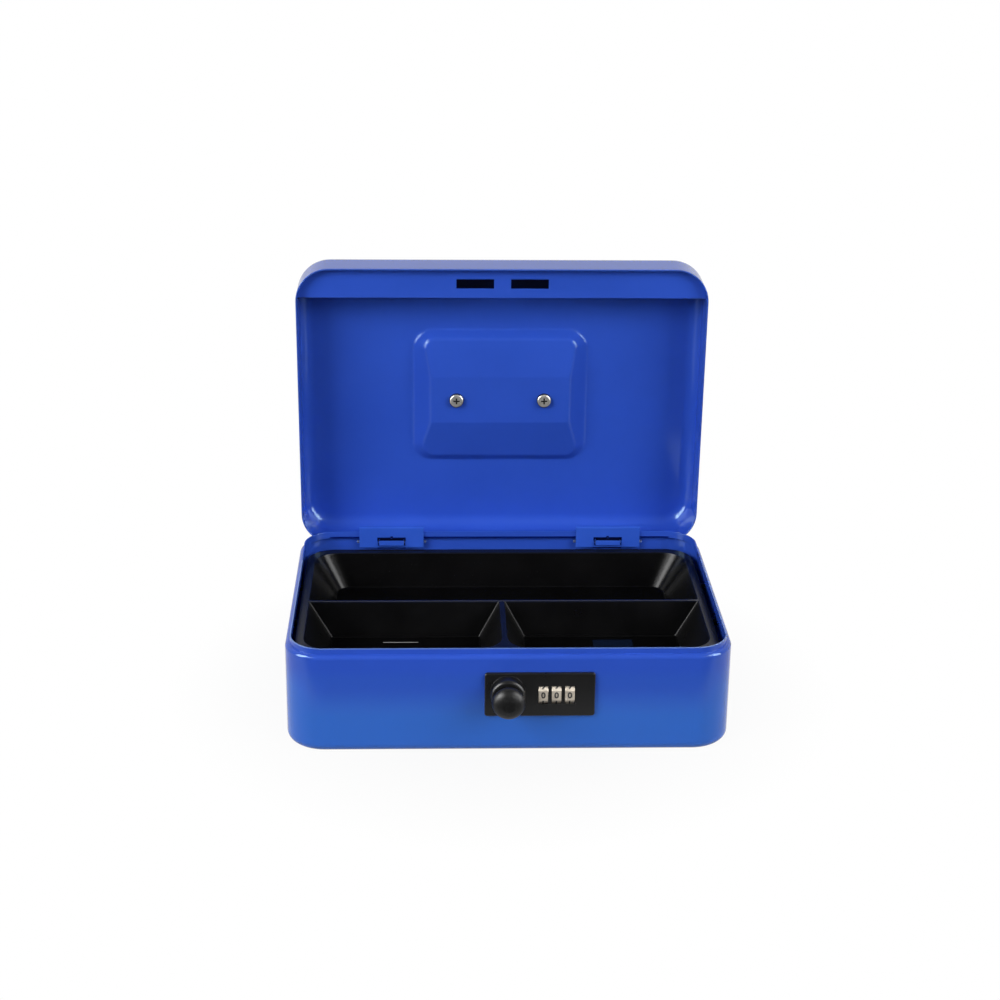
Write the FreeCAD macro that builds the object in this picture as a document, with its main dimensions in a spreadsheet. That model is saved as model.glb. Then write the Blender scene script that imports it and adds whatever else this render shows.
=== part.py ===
# Cash box: drawn steel tub and lid on concealed hinges, lift-out coin tray and dial lock.
# Millimetres and degrees. X runs to the right, the front is towards -Y and Z is up.
# The origin is the middle of the underside. The lid is modelled open, on its stop.
import FreeCAD
import Part
import math
import os
from types import SimpleNamespace

import Sketcher

Vector = FreeCAD.Vector
Rotation = FreeCAD.Rotation

# Driving sizes of the tub
TUB = {
    "box_width": 250.0,
    "box_depth": 180.0,
    "rim_height": 62.5,
    "neck_height": 3.5,
    "neck_inset": 2.6,
    "sheet": 0.8,
    "base_corner": 22.0,
    "bottom_round": 5.0,
    "shoulder_round": 2.4,
}

# Driving sizes of the lid, its strike plate and the dish pressed in for the handle
LID = {
    "lid_depth": 29.0,
    "lid_overhang": 0.3,
    "lid_gap": 0.3,
    "lid_corner": 20.5,
    "lid_round": 8.5,
    "lid_open_angle": 88.0,
    "strike_reach": 19.3,
    "strike_recess": 5.0,
    "strike_sheet": 1.0,
    "strike_fit": 0.05,
    "slot_length": 22.9,
    "slot_width": 6.0,
    "slot_spacing": 33.2,
    "slot_setback": 10.2,
    "dish_length": 108.3,
    "dish_width": 85.9,
    "dish_corner": 11.0,
    "dish_wall_angle": 41.0,
    "dish_front_angle": 55.0,
    "dish_top_corner": 1.0,
    "dish_depth": 9.5,
    "dish_front_depth": 5.5,
    "dish_back_depth": 2.5,
    "dish_flat": 30.2,
    "dish_shift": -0.2,
    "dish_soften": 1.8,
    "dish_foot": 2.0,
}

# Driving sizes of the handle and what holds it
HANDLE = {
    "lug_spacing": 55.0,
    "lug_length": 10.0,
    "lug_width": 9.0,
    "lug_top_gap": 0.4,
    "lug_round": 3.0,
    "bail_axis_depth": 3.4,
    "bail_wire": 4.4,
    "bail_span": 76.0,
    "bail_reach": 29.0,
    "bail_bend": 4.0,
    "handle_screw_shank": 4.0,
    "handle_screw_head": 9.0,
    "handle_screw_head_depth": 2.6,
    "handle_screw_grip": 3.5,
}

# Driving sizes of the hinges
HINGE = {
    "hinge_setback": 56.4,
    "hinge_width": 40.6,
    "hinge_sheet": 1.2,
    "hinge_leaf_drop": 10.3,
    "hook_rise": 2.2,
    "hinge_inset": 3.0,
    "hinge_drop": 3.7,
    "hinge_pin": 1.9,
    "hinge_pin_overhang": 1.5,
    "ear_margin": 0.9,
    "tab_sheet": 1.0,
    "tab_width": 14.8,
    "tab_reach": 8.0,
    "tab_side_gap": 0.5,
    "tongue_width": 15.7,
    "tongue_slit": 0.6,
    "tongue_notch": 2.6,
    "stop_gap": 0.3,
}

# Driving sizes of the lock
LOCK = {
    "knob_offset": -1.2,
    "knob_height": 38.1,
    "lock_offset": 17.8,
    "lock_height": 36.2,
    "lock_width": 61.2,
    "lock_tall": 26.1,
    "lock_thick": 2.0,
    "lock_corner": 1.5,
    "lock_edge": 0.7,
    "lock_lip": 0.5,
    "boss_diameter": 19.4,
    "boss_length": 7.0,
    "boss_edge": 2.0,
    "knob_diameter": 18.5,
    "knob_thick": 11.0,
    "knob_reach": 16.0,
    "knob_flat": 0.35,
    "knob_stem": 8.4,
    "knob_socket": 9.5,
    "spindle": 5.0,
    "knob_turn": 90.0,
    "dial_height": 36.1,
    "wheel_diameter": 18.0,
    "wheel_facets": 10.0,
    "wheel_width": 5.2,
    "wheel_pitch": 7.35,
    "wheel_shift": 27.0,
    "wheel_proud": 1.15,
    "wheel_room": 0.6,
    "window_tall": 10.9,
    "window_gap": 0.2,
    "case_end_room": 1.0,
    "sleeve_diameter": 9.0,
    "sleeve_gap": 0.2,
    "shaft": 3.0,
    "shaft_head": 4.4,
    "shaft_head_length": 2.4,
    "shaft_tail": 4.0,
    "case_wall": 1.4,
    "case_flange": 1.5,
    "case_floor_room": 2.0,
    "case_cover": 1.0,
    "bearing_diameter": 11.0,
    "bearing_length": 1.0,
    "post_diameter": 4.4,
    "post_inset_side": 3.4,
    "post_inset_end": 3.4,
    "lock_screw": 2.5,
    "lock_screw_head": 4.6,
    "lock_screw_head_depth": 1.6,
    "lock_screw_bite": 2.0,
    "ear_diameter": 5.0,
    "ear_depth": 3.4,
    "cover_screw": 2.0,
    "cover_screw_head": 4.0,
    "cover_screw_head_depth": 1.3,
    "cover_screw_bite": 3.0,
    "cam_diameter": 10.0,
    "cam_throw": 1.5,
    "cam_thick": 3.8,
    "cam_sleeve": 8.0,
    "claw_sheet": 2.0,
    "claw_band": 4.0,
    "claw_arm": 7.0,
    "claw_hub": 13.0,
    "claw_span": 85.0,
    "claw_tip_locked": 52.0,
    "nut_flats": 8.0,
    "nut_height": 3.0,
    "nut_sides": 6.0,
    "detent_sheet": 0.4,
    "spring_wire": 0.5,
    "spring_diameter": 4.6,
    "spring_turns": 4.0,
}

# Driving sizes of the coin tray and the studs that carry it
TRAY = {
    "tray_drop": 11.5,
    "tray_depth": 21.0,
    "tray_wall": 1.6,
    "tray_flange": 2.0,
    "tray_ledge": 4.7,
    "tray_back_ledge": 5.4,
    "tray_side_gap": 0.8,
    "tray_back_gap": 1.7,
    "tray_front_gap": 20.2,
    "tray_corner": 17.0,
    "tray_divider": 2.4,
    "tray_divider_shift": 3.95,
    "tray_centre_divider": 2.8,
    "tray_centre_shift": -1.5,
    "tray_side_slope": 13.5,
    "tray_end_slope": 6.5,
    "tray_divider_slope": 4.5,
    "tray_centre_slope": 12.0,
    "pocket_corner": 16.0,
    "pocket_floor_corner": 9.0,
    "pocket_seam": 1.0,
    "pocket_foot": 0.8,
    "tray_pad_length": 23.5,
    "tray_pad_width": 14.0,
    "tray_pad_rise": 0.5,
    "tray_pad_offset": 62.5,
    "tray_pad_shift": 1.6,
    "tray_pad_setback": 10.3,
    "stud_diameter": 4.0,
    "stud_spread": 52.0,
    "stud_hold": 2.0,
    "stud_recess": 0.1,
}

# Clearances shared by several pieces
FITS = {
    "running_fit": 0.05,
    "seat_gap": 0.2,
    "face_gap": 0.3,
    "cut_margin": 1.0,
}


class Size:
    """A number that remembers the formula it came from, so that it can be bound to the sheet."""

    def __init__(self, text, value):
        self.text = text
        self.value = value

    def _join(self, sign, other, value):
        return Size(f"({self.text} {sign} {as_size(other).text})", value)

    def __add__(self, other):
        return self._join("+", other, self.value + as_size(other).value)

    def __sub__(self, other):
        return self._join("-", other, self.value - as_size(other).value)

    def __mul__(self, other):
        return self._join("*", other, self.value * as_size(other).value)

    def __truediv__(self, other):
        return self._join("/", other, self.value / as_size(other).value)

    def __neg__(self):
        return Size(f"(-1 * {self.text})", -self.value)


def as_size(number):
    if isinstance(number, Size):
        return number
    return Size(repr(float(number)), float(number))


def root(size):
    return Size(f"sqrt({size.text})", math.sqrt(size.value))


def cosine(angle):
    return Size(f"cos({angle.text} * 1 deg)", math.cos(math.radians(angle.value)))


def sine(angle):
    return Size(f"sin({angle.text} * 1 deg)", math.sin(math.radians(angle.value)))


def make_sheet():
    sheet = doc.addObject("Spreadsheet::Sheet", "sizes")
    named = {}
    row = 0
    for group in (TUB, LID, HANDLE, HINGE, LOCK, TRAY, FITS):
        for alias, number in group.items():
            row += 1
            sheet.set(f"A{row}", alias)
            sheet.set(f"B{row}", repr(number))
            sheet.setAlias(f"B{row}", alias)
            named[alias] = Size(f"sizes.{alias}", number)
    doc.recompute()
    return SimpleNamespace(**named)


doc = FreeCAD.newDocument("cash_box")
s = make_sheet()
pieces = {}


# Ways to make solids whose sizes stay bound to the sheet


def bind(item, name, size):
    item.setExpression(name, as_size(size).text)


def place(item, x, y, z):
    for axis, size in zip("xyz", (x, y, z)):
        bind(item, f"Placement.Base.{axis}", size)


def block(name, x, y, z):
    """A box between the low and high values of x, y and z."""
    item = doc.addObject("Part::Box", name)
    for side, (low, high) in zip(("Length", "Width", "Height"), (x, y, z)):
        bind(item, side, as_size(high) - low)
    place(item, x[0], y[0], z[0])
    return item


TURNS = {
    "X": Rotation(Vector(0, 1, 0), 90),
    "Y": Rotation(Vector(1, 0, 0), -90),
    "Z": Rotation(),
}


def aligned(item, along, low, centre):
    """Point a primitive along an axis, starting at low, on the other two coordinates in centre."""
    item.Placement = FreeCAD.Placement(Vector(), TURNS[along])
    spot = list(centre)
    spot.insert("XYZ".index(along), low)
    place(item, *spot)


def rod(name, along, ends, centre, radius):
    item = doc.addObject("Part::Cylinder", name)
    bind(item, "Radius", radius)
    bind(item, "Height", as_size(ends[1]) - ends[0])
    aligned(item, along, ends[0], centre)
    return item


def polygon_rod(name, along, ends, centre, corner_radius, sides):
    item = doc.addObject("Part::Prism", name)
    item.Polygon = int(sides.value)
    bind(item, "Circumradius", corner_radius)
    bind(item, "Height", as_size(ends[1]) - ends[0])
    aligned(item, along, ends[0], centre)
    return item


def fuse(name, *parts):
    item = doc.addObject("Part::MultiFuse", name)
    item.Shapes = list(parts)
    item.Refine = True
    return item


def group(name, *parts):
    """Identical pieces kept as separate solids in one node."""
    item = doc.addObject("Part::Compound", name)
    item.Links = list(parts)
    return item


def cut(name, base, *tools):
    item = doc.addObject("Part::Cut", name)
    item.Base = base
    item.Tool = tools[0] if len(tools) == 1 else group(f"{name}_tools", *tools)
    item.Refine = True
    return item


def common(name, first, second):
    item = doc.addObject("Part::Common", name)
    item.Base = first
    item.Tool = second
    item.Refine = True
    return item


def rounded(name, base, *rules):
    """Round the edges of base: each rule is a test for an edge and the radius it gets."""
    doc.recompute()
    item = doc.addObject("Part::Fillet", name)
    item.Base = base
    chosen = []
    for number, edge in enumerate(base.Shape.Edges, 1):
        for test, radius in rules:
            if test(edge):
                chosen.append((number, as_size(radius).value, as_size(radius).value))
                break
    item.Edges = chosen
    return item


NEAR = 1e-4


def upright(edge):
    box = edge.BoundBox
    return box.XLength < NEAR and box.YLength < NEAR


def level(height):
    def test(edge):
        box = edge.BoundBox
        return box.ZLength < NEAR and abs(box.ZMin - height.value) < NEAR
    return test


def facing(place_y):
    def test(edge):
        box = edge.BoundBox
        return box.YLength < NEAR and abs(box.YMin - as_size(place_y).value) < NEAR
    return test


def both(first, second):
    return lambda edge: first(edge) and second(edge)


def spread(half):
    return (-half, half)


def around(centre, width):
    return (centre - width / 2, centre + width / 2)


def beside(centre, half):
    return (centre - half, centre + half)


def ordered(first, second):
    return (first, second) if first.value < second.value else (second, first)


def hold(sketch, rule, size):
    """Add a dimension to a sketch and bind it to its size."""
    number = sketch.addConstraint(rule)
    bind(sketch, f"Constraints[{number}]", size)


def outline(body, role, offset, points):
    """A closed sketch of straight lines on an origin plane, each corner bound to its two sizes."""
    sketch = body.newObject("Sketcher::SketchObject", f"{body.Name}_outline")
    plane = [item for item in body.Origin.OriginFeatures if item.Role == role][0]
    sketch.AttachmentSupport = [(plane, "")]
    sketch.MapMode = "FlatFace"
    bind(sketch, "AttachmentOffset.Base.z", offset)
    corners = [Vector(u.value, v.value, 0) for u, v in points]
    for start, end in zip(corners, corners[1:] + corners[:1]):
        sketch.addGeometry(Part.LineSegment(start, end))
    for number in range(len(points)):
        following = (number + 1) % len(points)
        sketch.addConstraint(Sketcher.Constraint("Coincident", number, 2, following, 1))
    for number, corner in enumerate(points):
        for kind, size in zip(("DistanceX", "DistanceY"), corner):
            hold(sketch, Sketcher.Constraint(kind, -1, 1, number, 1, size.value), size)
    return sketch


def padded(name, role, offset, points, length):
    body = doc.addObject("PartDesign::Body", name)
    sketch = outline(body, role, offset, points)
    pad = body.newObject("PartDesign::Pad", f"{name}_pad")
    pad.Profile = sketch
    bind(pad, "Length", length)
    return body


def round_section(name, x, y, z, radii):
    """A rounded rectangle at height z; radii are those of its front and of its back corners."""
    sketch = doc.addObject("Sketcher::SketchObject", name)
    front, back = radii
    corners = ((x[0], 1, y[0], 1, front), (x[1], -1, y[0], 1, front),
               (x[1], -1, y[1], -1, back), (x[0], 1, y[1], -1, back))
    count = len(corners)
    for number, (at_x, way_x, at_y, way_y, radius) in enumerate(corners):
        middle = Vector((at_x + radius * way_x).value, (at_y + radius * way_y).value, 0)
        start = math.pi + math.pi / 2 * number
        circle = Part.Circle(middle, Vector(0, 0, 1), radius.value)
        sketch.addGeometry(Part.ArcOfCircle(circle, start, start + math.pi / 2))
    for number in range(count):
        following = (number + 1) % count
        sketch.addGeometry(Part.LineSegment(sketch.getPoint(number, 2), sketch.getPoint(following, 1)))
    edges = (("Horizontal", "DistanceY", y[0]), ("Vertical", "DistanceX", x[1]),
             ("Horizontal", "DistanceY", y[1]), ("Vertical", "DistanceX", x[0]))
    for number, (run, kind, size) in enumerate(edges):
        line = number + count
        following = (number + 1) % count
        sketch.addConstraint(Sketcher.Constraint("Tangent", number, 2, line, 1))
        sketch.addConstraint(Sketcher.Constraint("Tangent", line, 2, following, 1))
        sketch.addConstraint(Sketcher.Constraint(run, line))
        hold(sketch, Sketcher.Constraint(kind, -1, 1, line, 1, size.value), size)
    for number, corner in enumerate(corners):
        hold(sketch, Sketcher.Constraint("Radius", number, corner[-1].value), corner[-1])
    place(sketch, zero, zero, z)
    return sketch


def loft(name, *sections):
    """A solid with straight sides from each section to the next."""
    item = doc.addObject("Part::Loft", name)
    item.Sections = list(sections)
    item.Solid = True
    item.Ruled = True
    return item


def piece(node, item):
    item.Label = node
    pieces[node] = item
    return item


# Places that several pieces share

zero = as_size(0)
half_width = s.box_width / 2
half_depth = s.box_depth / 2
shoulder = s.rim_height - s.neck_height
neck_outer = half_depth - s.neck_inset
neck_inner = neck_outer - s.sheet
wall_inner = half_depth - s.sheet
lid_edge = shoulder + s.lid_gap
lid_top = lid_edge + s.lid_depth
lid_half_width = half_width + s.lid_overhang
lid_half_depth = half_depth + s.lid_overhang
lid_inner = lid_half_depth - s.sheet
pin_y = half_depth - s.hinge_inset
pin_z = lid_edge - s.hinge_drop
knuckle_bore = s.hinge_pin / 2 + s.running_fit
knuckle_radius = knuckle_bore + s.tab_sheet
hinge_middle = half_width - s.hinge_setback
face = -half_depth
plate_front = face - s.lock_thick
case_front = -wall_inner
SIDES = (("left", -1), ("right", 1))


# Tub


def tub_form(name, inset, top):
    """The space inside the tub's outline moved in by inset: walls, rounded shoulder and neck."""
    wall = block(
        f"{name}_wall", spread(half_width - inset), spread(half_depth - inset),
        (inset, shoulder - inset))
    corners = rounded(f"{name}_corners", wall, (upright, s.base_corner - inset))
    bottom = rounded(f"{name}_bottom", corners, (level(inset), s.bottom_round - inset))
    brow = rounded(f"{name}_brow", bottom, (level(shoulder - inset), s.shoulder_round - inset))
    across = s.neck_inset + inset
    neck = block(
        f"{name}_neck", spread(half_width - across), spread(half_depth - across),
        (shoulder - s.shoulder_round - inset, top))
    neck_round = rounded(f"{name}_neck_round", neck, (upright, s.base_corner - across))
    return fuse(name, brow, neck_round)


def post_spots():
    """Middles of the four posts that carry the lock through the front wall."""
    ends = around(s.knob_offset + s.lock_offset, s.lock_width - s.post_inset_side * 2)
    heights = around(s.lock_height, s.lock_tall - s.post_inset_end * 2)
    return [(x, z) for x in ends for z in heights]


def stud_spots():
    return [(sign, y) for _, sign in SIDES for y in around(tray_middle, s.stud_spread)]


def base_shell():
    margin = s.cut_margin
    hollow = cut(
        "tub_hollow", tub_form("tub_outer", zero, s.rim_height),
        tub_form("tub_inner", s.sheet, s.rim_height + margin))
    through = (face - margin, case_front + margin)
    tools = [
        rod("knob_hole", "Y", through, knob_spot, s.bearing_diameter / 2 + s.seat_gap),
        block("wheel_hole", wheel_span(), through,
              beside(s.dial_height, wheel_chord(case_front) + s.wheel_room)),
    ]
    for number, (x, z) in enumerate(post_spots()):
        tools.append(rod(
            f"post_hole_{number}", "Y", through, (x, z), s.post_diameter / 2 + s.seat_gap))
    for number, (sign, y) in enumerate(stud_spots()):
        ends = ordered((half_width + margin) * sign, (half_width - s.sheet - margin) * sign)
        tools.append(rod(
            f"stud_hole_{number}", "X", ends, (y, stud_height), s.stud_diameter / 2 + s.running_fit))
    for side, sign in SIDES:
        tools.append(block(
            f"hinge_slot_{side}", around(hinge_middle * sign, s.tab_width + s.tab_side_gap * 2),
            (neck_outer, half_depth + margin), (tab_stop, shoulder + margin)))
    piece("base_shell", cut("tub", hollow, *tools))


def wheel_chord(y):
    """Half the height of a dial wheel where it crosses the plane at y."""
    reach = wheel_axis_y - y
    return root(s.wheel_diameter * s.wheel_diameter / 4 - reach * reach)


def wheel_span():
    """The span in X of the three wheels with room at both ends."""
    half = s.wheel_pitch + s.wheel_width / 2 + s.window_gap
    return beside(dial_middle, half)


# Hinges


def hinge_plate(side, sign):
    """A leaf inside the neck, hooked over the rim, whose ears carry the pin behind it."""
    middle = hinge_middle * sign
    width = around(middle, s.hinge_width)
    leaf_front = neck_inner - s.hinge_sheet
    leaf_bottom = s.rim_height - s.hinge_leaf_drop
    hook_low = s.rim_height + s.hook_rise
    leaf_top = hook_low + s.hinge_sheet
    leaf = block(f"leaf_{side}", width, (leaf_front, neck_inner), (leaf_bottom, leaf_top))
    hook = block(f"hook_{side}", width, (leaf_front, neck_outer), (hook_low, leaf_top))
    ear_reach = s.hinge_pin / 2 + s.ear_margin
    ear_span = (leaf_front, wall_inner - s.face_gap)
    ears = [
        block(f"ear_{side}_{number}", ends, ear_span, beside(pin_z, ear_reach))
        for number, ends in enumerate((
            (width[0], width[0] + s.hinge_sheet), (width[1] - s.hinge_sheet, width[1])))]
    softened = rounded(
        f"hook_round_{side}", fuse(f"leaf_blank_{side}", leaf, hook, *ears),
        (both(level(leaf_top), facing(leaf_front)), s.hinge_sheet))
    window_top = pin_z + knuckle_radius + s.face_gap
    tongue_top = window_top - s.tongue_slit
    tongue_root = pin_z - knuckle_radius - s.tongue_slit
    tongue_back = pin_y - knuckle_radius - s.face_gap
    through = (leaf_front - s.cut_margin, neck_inner + s.cut_margin)
    window = block(
        f"tongue_window_{side}", around(middle, s.tongue_width + s.tongue_slit * 2),
        through, (tongue_root, window_top))
    notch = rod(f"tongue_notch_{side}", "Y", through, (middle, tongue_top), s.tongue_notch / 2)
    pin_hole = rod(
        f"pin_hole_{side}", "X", (width[0] - s.cut_margin, width[1] + s.cut_margin), (pin_y, pin_z),
        s.hinge_pin / 2 + s.running_fit / 2)
    slope_end = tongue_root + s.hinge_sheet
    tongue = padded(
        f"tongue_{side}", "YZ_Plane", middle - s.tongue_width / 2,
        [(leaf_front, leaf_bottom), (neck_inner, leaf_bottom), (neck_inner, tongue_root),
         (tongue_back, slope_end), (tongue_back, tongue_top),
         (tongue_back - s.hinge_sheet, tongue_top), (tongue_back - s.hinge_sheet, slope_end),
         (leaf_front, tongue_root)],
        s.tongue_width)
    plate = cut(f"leaf_cut_{side}", softened, window, notch, pin_hole)
    piece(f"hinge_plate_{side}", fuse(f"leaf_whole_{side}", plate, tongue))
    reach = s.hinge_width / 2 + s.hinge_pin_overhang
    piece(f"hinge_pin_{side}", rod(
        f"pin_{side}", "X", beside(middle, reach), (pin_y, pin_z), s.hinge_pin / 2))


def hinge_tab(side, sign):
    """A strip welded inside the lid's back wall and rolled round the pin, in the closed place."""
    width = around(hinge_middle * sign, s.tab_width)
    strip = block(
        f"strip_{side}", width, (lid_inner - s.tab_sheet, lid_inner), (pin_z, lid_edge + s.tab_reach))
    roll = rod(f"roll_{side}", "X", width, (pin_y, pin_z), knuckle_radius)
    bore = rod(
        f"roll_bore_{side}", "X", (width[0] - s.cut_margin, width[1] + s.cut_margin),
        (pin_y, pin_z), knuckle_bore)
    return cut(f"tab_{side}", fuse(f"tab_blank_{side}", strip, roll), bore)


# Lid, modelled closed and then turned open about the hinge pins


def open_up(node, item):
    """Set a piece that was drawn on the closed lid to the open pose of the lid."""
    swing = Rotation(Vector(1, 0, 0), -s.lid_open_angle.value)
    item.Placement = FreeCAD.Placement(Vector(), swing)
    turn_cos = cosine(s.lid_open_angle)
    turn_sin = sine(s.lid_open_angle)
    place(item, zero, pin_y - pin_y * turn_cos - pin_z * turn_sin,
          pin_z + pin_y * turn_sin - pin_z * turn_cos)
    piece(node, item)


def lid_form(name, inset, bottom):
    pan = block(
        f"{name}_pan", spread(lid_half_width - inset), spread(lid_half_depth - inset),
        (bottom, lid_top - inset))
    corners = rounded(f"{name}_corners", pan, (upright, s.lid_corner - inset))
    return rounded(f"{name}_crown", corners, (level(lid_top - inset), s.lid_round - inset))


def dish_form(name, grow):
    """The handle dish: sloping walls under a roof with a flat ridge, made larger by grow."""
    top = lid_top - grow
    ridge = top - s.dish_depth
    front_eaves = top - s.dish_front_depth
    back_eaves = top - s.dish_back_depth
    low = ridge - grow - s.cut_margin
    drop = top - low
    inset = drop * cosine(s.dish_wall_angle) / sine(s.dish_wall_angle)
    front_inset = drop * cosine(s.dish_front_angle) / sine(s.dish_front_angle)
    half_x = (s.dish_length + grow) / 2
    half_y = (s.dish_width + grow) / 2
    low_round = s.dish_top_corner + grow
    rim_round = s.dish_corner + grow
    front, back = beside(s.dish_shift, half_y)
    walls = loft(
        f"{name}_walls",
        round_section(f"{name}_low", spread(half_x - inset), (front + front_inset, back - inset), low,
                      (low_round, low_round)),
        round_section(f"{name}_rim", spread(half_x), (front, back), top, (rim_round, rim_round)))
    ridge_front, ridge_back = around(s.dish_shift, s.dish_flat)
    roof = padded(
        f"{name}_roof", "YZ_Plane", -half_x,
        [(front, top), (front, front_eaves), (ridge_front, ridge), (ridge_back, ridge),
         (back, back_eaves), (back, top)],
        half_x * 2)
    run = half_y - s.dish_flat / 2
    front_pitch = (front_eaves - ridge) / run
    back_pitch = (back_eaves - ridge) / run

    def under_roof(spot):
        ahead = max(0.0, ridge_front.value - spot.y)
        behind = max(0.0, spot.y - ridge_back.value)
        rise = ahead * front_pitch.value + behind * back_pitch.value
        return abs(spot.z - ridge.value - rise) < NEAR

    def on_roof(edge):
        return all(under_roof(vertex.Point) for vertex in edge.Vertexes)

    return rounded(name, common(f"{name}_whole", walls, roof), (on_roof, s.dish_soften + grow))


def rim_of_dish(height):
    """The edges of the dish where it leaves the lid's top at height."""
    reach = s.dish_length / 2 + s.sheet

    def test(edge):
        box = edge.BoundBox
        return level(height)(edge) and max(-box.XMin, box.XMax) < reach.value
    return test


def lid_shell():
    margin = s.cut_margin
    outer = cut("lid_recessed", lid_form("lid_outer", zero, lid_edge), dish_form("dish_outer", zero))
    hollow = cut(
        "lid_hollow", lid_form("lid_inner", s.sheet, lid_edge - margin), dish_form("dish_inner", s.sheet))
    skin = rounded("lid_skin", outer, (rim_of_dish(lid_top), s.dish_foot + s.sheet))
    room = rounded("lid_room", hollow, (rim_of_dish(lid_top - s.sheet), s.dish_foot))
    tools = [room]
    for side, sign in SIDES:
        tools.append(rod(
            f"handle_hole_{side}", "Z", (lid_top - s.dish_depth - s.sheet - margin, lid_top),
            (s.lug_spacing / 2 * sign, s.dish_shift), s.handle_screw_shank / 2 + s.seat_gap))
    open_up("lid_shell", cut("lid_whole", skin, *tools))


def strike_plate():
    """A strip across the front of the lid, welded to its walls, with a slot for each end of the claw."""
    low = lid_edge + s.strike_recess
    inner = rounded(
        "strike_blank",
        block("strike_sheet_blank", spread(lid_half_width - s.sheet - s.strike_fit),
              spread(lid_inner - s.strike_fit), (low, low + s.strike_sheet)),
        (upright, s.lid_corner - s.sheet - s.strike_fit))
    front = block(
        "strike_front", spread(lid_half_width), (-lid_half_depth, s.strike_reach - lid_half_depth),
        (low, low + s.strike_sheet))
    slots = [
        block(f"strike_slot_{side}", around(s.slot_spacing / 2 * sign, s.slot_length),
              around(face + s.slot_setback, s.slot_width),
              (low - s.cut_margin, low + s.strike_sheet + s.cut_margin))
        for side, sign in SIDES]
    open_up("strike_plate", cut("strike", common("strike_strip", inner, front), *slots))


# Handle on the outside of the lid

dish_floor = lid_top - s.dish_depth
bail_z = lid_top - s.bail_axis_depth
bail_y = s.dish_shift


def handle_lug(side, sign):
    middle = s.lug_spacing / 2 * sign
    body = block(
        f"lug_blank_{side}", around(middle, s.lug_length), around(bail_y, s.lug_width),
        (dish_floor, lid_top - s.lug_top_gap))
    soft = rounded(f"lug_round_{side}", body, (level(lid_top - s.lug_top_gap), s.lug_round / 2))
    eye = rod(
        f"lug_eye_{side}", "X", around(middle, s.lug_length + s.cut_margin * 2), (bail_y, bail_z),
        s.bail_wire / 2 + s.running_fit)
    thread = rod(
        f"lug_thread_{side}", "Z", (dish_floor - s.cut_margin, dish_floor + s.handle_screw_grip),
        (middle, bail_y), s.handle_screw_shank / 2 + s.running_fit)
    open_up(f"handle_lug_{side}", cut(f"lug_{side}", soft, eye, thread))


def pan_screw(name, head_at, way, shank_end, spot, along, sizes):
    """A pan-head screw: head beyond head_at, shank to shank_end, with a cross recess."""
    shank, head, head_depth = sizes
    head_far = head_at - head_depth * way
    span = ordered(head_far, head_at)
    cap = rod(f"{name}_cap", along, span, spot, head / 2)
    doc.recompute()
    number = "XYZ".index(along)

    def outer_rim(edge):
        low = (edge.BoundBox.XMin, edge.BoundBox.YMin, edge.BoundBox.ZMin)[number]
        length = (edge.BoundBox.XLength, edge.BoundBox.YLength, edge.BoundBox.ZLength)[number]
        return length < NEAR and abs(low - head_far.value) < NEAR

    domed = rounded(f"{name}_dome", cap, (outer_rim, head_depth / 2))
    stem = rod(f"{name}_stem", along, ordered(head_at, shank_end), spot, shank / 2)
    recess_depth = ordered(head_far - s.cut_margin * way, head_far + head_depth / 2 * way)
    arms = []
    for arm, (long_way, short_way) in (("a", (shank, shank / 4)), ("b", (shank / 4, shank))):
        ranges = [around(spot[0], long_way), around(spot[1], short_way)]
        ranges.insert(number, recess_depth)
        arms.append(block(f"{name}_arm_{arm}", *ranges))
    return cut(name, fuse(f"{name}_whole", domed, stem), *arms)


def handle_screws():
    head_at = dish_floor - s.sheet
    sizes = (s.handle_screw_shank, s.handle_screw_head, s.handle_screw_head_depth)
    screws = [
        pan_screw(f"handle_screw_{side}", head_at, 1, dish_floor + s.handle_screw_grip,
                  (s.lug_spacing / 2 * sign, bail_y), "Z", sizes)
        for side, sign in SIDES]
    open_up("handle_screws", group("handle_screw_pair", *screws))


def bend(name, corner, start_angle):
    """A quarter turn of the bail's wire about corner, in the plane of the bail."""
    item = doc.addObject("Part::Torus", name)
    bind(item, "Radius1", s.bail_bend)
    bind(item, "Radius2", s.bail_wire / 2)
    item.Angle3 = 90
    item.Placement = FreeCAD.Placement(Vector(), Rotation(Vector(0, 0, 1), start_angle))
    place(item, corner[0], corner[1], bail_z)
    return item


def handle_bail():
    """A bent wire: two pins turned in through the lugs, two legs and the grip across them."""
    half = s.bail_span / 2
    turn = s.bail_bend
    grip_y = bail_y + s.bail_reach
    radius = s.bail_wire / 2
    pin_in = s.lug_spacing / 2 - s.lug_length / 2
    parts = [rod("bail_grip", "X", spread(half - turn), (grip_y, bail_z), radius)]
    for side, sign, near_angle, far_angle in (("left", -1, 180, 90), ("right", 1, 270, 0)):
        ends = ordered(pin_in * sign, (half - turn) * sign)
        inner = (half - turn) * sign
        parts += [
            rod(f"bail_pin_{side}", "X", ends, (bail_y, bail_z), radius),
            rod(f"bail_leg_{side}", "Y", (bail_y + turn, grip_y - turn), (half * sign, bail_z), radius),
            bend(f"bail_near_{side}", (inner, bail_y + turn), near_angle),
            bend(f"bail_far_{side}", (inner, grip_y - turn), far_angle),
        ]
    open_up("handle_bail", fuse("bail", *parts))


# Lock

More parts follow.
